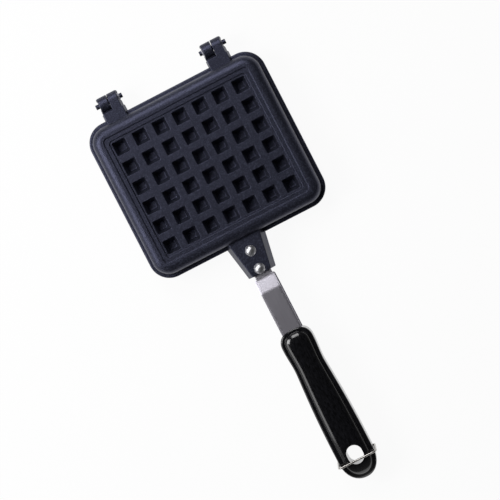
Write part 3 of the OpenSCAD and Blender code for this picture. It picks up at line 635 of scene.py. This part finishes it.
for half in ("upper", "lower"):
    body = half + "_half"
    skin = [(placed(p, half), a, b) for p, a, b in plate_skin() + bracket()]
    plate = make_piece(f"cast_half_{half}", skin, CASTING)
    belongs(plate, body, "nonstick_casting", f"{half}_plate")
    for word, side in (("left", -1), ("right", 1)):
        base, arm, bore = ([(placed(p, half, side * HINGE_X), a, b)]
                           for p, a, b in (hinge_base(), hinge_arm(), pin_cutter()))
        # The arm's open edges spoil both Booleans: the cutter's end stays standing outside the arm. An open fault
        leaf = make_piece(f"hinge_leaf_{half}_{word}", base, CASTING)
        combine(leaf, arm, "UNION")
        combine(leaf, bore, "DIFFERENCE", 32)
        steady(leaf)
        belongs(leaf, body, "nonstick_casting", f"{half}_plate")
    strap = make_piece(f"strap_{half}", [strap_sheet(half)], STRAP)
    belongs(strap, body, "strap_steel", f"{half}_strap")
    for end, y in RIVETS:
        rivet = make_piece(f"rivet_{half}_{end}", [rivet_sheet(half, y)], RIVET)
        belongs(rivet, body, "rivet_steel", f"{half}_{end}_rivet")
    grip = make_piece(f"grip_{half}", [grip_sheet(half)], PHENOLIC)
    for cutter in [hole_cutter(half)] + ([bail_hole_cutter(s) for s in (-1, 1)] if half == "lower" else []):
        combine(grip, [cutter], "DIFFERENCE")
    belongs(grip, body, "phenolic_grip", f"{half}_grip")
for word, side, body in (("left", -1, "upper_half"), ("right", 1, "lower_half")):
    belongs(make_piece(f"pin_{word}", [pin_sheet(side)], PIN), body, "rivet_steel", f"hinge_pin_{word}")
belongs(make_piece("bail_wire", [bail_sheet()], WIRE), "bail", "wire_steel", "wire_bail")


# Stage, light and camera


def stage_material():
    """Pale studio paper: matt white that takes the pan's shadow. Seen straight on it is lifted towards white."""
    m = bpy.data.materials.new("Studio_paper")
    m.use_nodes = True
    t = m.node_tree
    t.nodes.clear()
    seen = add(t, "ShaderNodeLightPath", {})
    most = add(t, "ShaderNodeMath", {"operation": "MAXIMUM", 0: seen.outputs["Is Camera Ray"],
                                     1: seen.outputs["Is Glossy Ray"]})
    most = add(t, "ShaderNodeMath", {"operation": "MAXIMUM", 0: most.outputs[0],
                                     1: seen.outputs["Is Transmission Ray"]})
    share = add(t, "ShaderNodeMath", {"operation": "MULTIPLY", 0: most.outputs[0], 1: 0.94})
    matt = add(t, "ShaderNodeBsdfDiffuse", {"Color": linear("#fafafa")})
    white = add(t, "ShaderNodeEmission", {"Strength": 1.0})
    both = add(t, "ShaderNodeMixShader", {0: share.outputs[0], 1: matt.outputs[0], 2: white.outputs[0]})
    add(t, "ShaderNodeOutputMaterial", {"Surface": both.outputs[0]})
    return m


floor_mesh = bpy.data.meshes.new("floor")
floor_mesh.from_pydata([(-6, -6, 0), (6, -6, 0), (6, 6, 0), (-6, 6, 0)], [], [(0, 1, 2, 3)])
floor_mesh.materials.append(stage_material())
floor = bpy.data.objects.new("floor", floor_mesh)
bpy.context.scene.collection.objects.link(floor)

# The room is nearly dark, a little paler towards the horizon, so that the softboxes shape the dark coat
world = bpy.data.worlds.new("studio")
bpy.context.scene.world = world
world.use_nodes = True
wt = world.node_tree
wt.nodes.clear()
sky = add(wt, "ShaderNodeTexCoord", {}).outputs["Generated"]
up = add(wt, "ShaderNodeSeparateXYZ", {"Vector": sky}).outputs["Z"]
room = add(wt, "ShaderNodeMapRange", {"Value": up, "From Max": 0.8, "To Min": 0.16, "To Max": 0.02})
glow = add(wt, "ShaderNodeBackground", {"Color": (1, 1, 1, 1), "Strength": room.outputs["Result"]})
add(wt, "ShaderNodeOutputWorld", {"Surface": glow.outputs[0]})


def softbox(name, place, aim, size, watts):
    """A white rectangular softbox that faces a point."""
    data = bpy.data.lights.new(name, "AREA")
    data.shape, data.size, data.size_y, data.energy = "RECTANGLE", size[0], size[1], watts
    lamp = bpy.data.objects.new(name, data)
    lamp.location = place
    away = np.array(place) - np.array(aim)
    yaw = math.atan2(away[1], away[0])
    pitch = math.acos(away[2] / np.linalg.norm(away))
    lamp.rotation_euler = Euler((0, pitch, yaw))
    bpy.context.scene.collection.objects.link(lamp)


softbox("key", (-0.66, 0.4, 0.78), (0, 0.05, 0), (0.5, 0.5), 6.5)
softbox("top", (0.0, 0.8, 0.8), (0, 0.05, 0), (0.6, 0.4), 4.2)
softbox("left", (-0.9, 0.0, 0.6), (0, 0, 0), (0.5, 0.5), 2)

eye = bpy.data.cameras.new("camera")
eye.lens, eye.sensor_width, eye.clip_end = 174.09, 36.0, 50.0
camera = bpy.data.objects.new("camera", eye)
camera.location = (0.1382, 0.04633, 2.0)
camera.rotation_euler = Euler([math.radians(a) for a in (-2.48762, 3.22573, -27.27923)])
bpy.context.scene.collection.objects.link(camera)
bpy.context.scene.camera = camera
bpy.context.scene.view_settings.view_transform = "Standard"
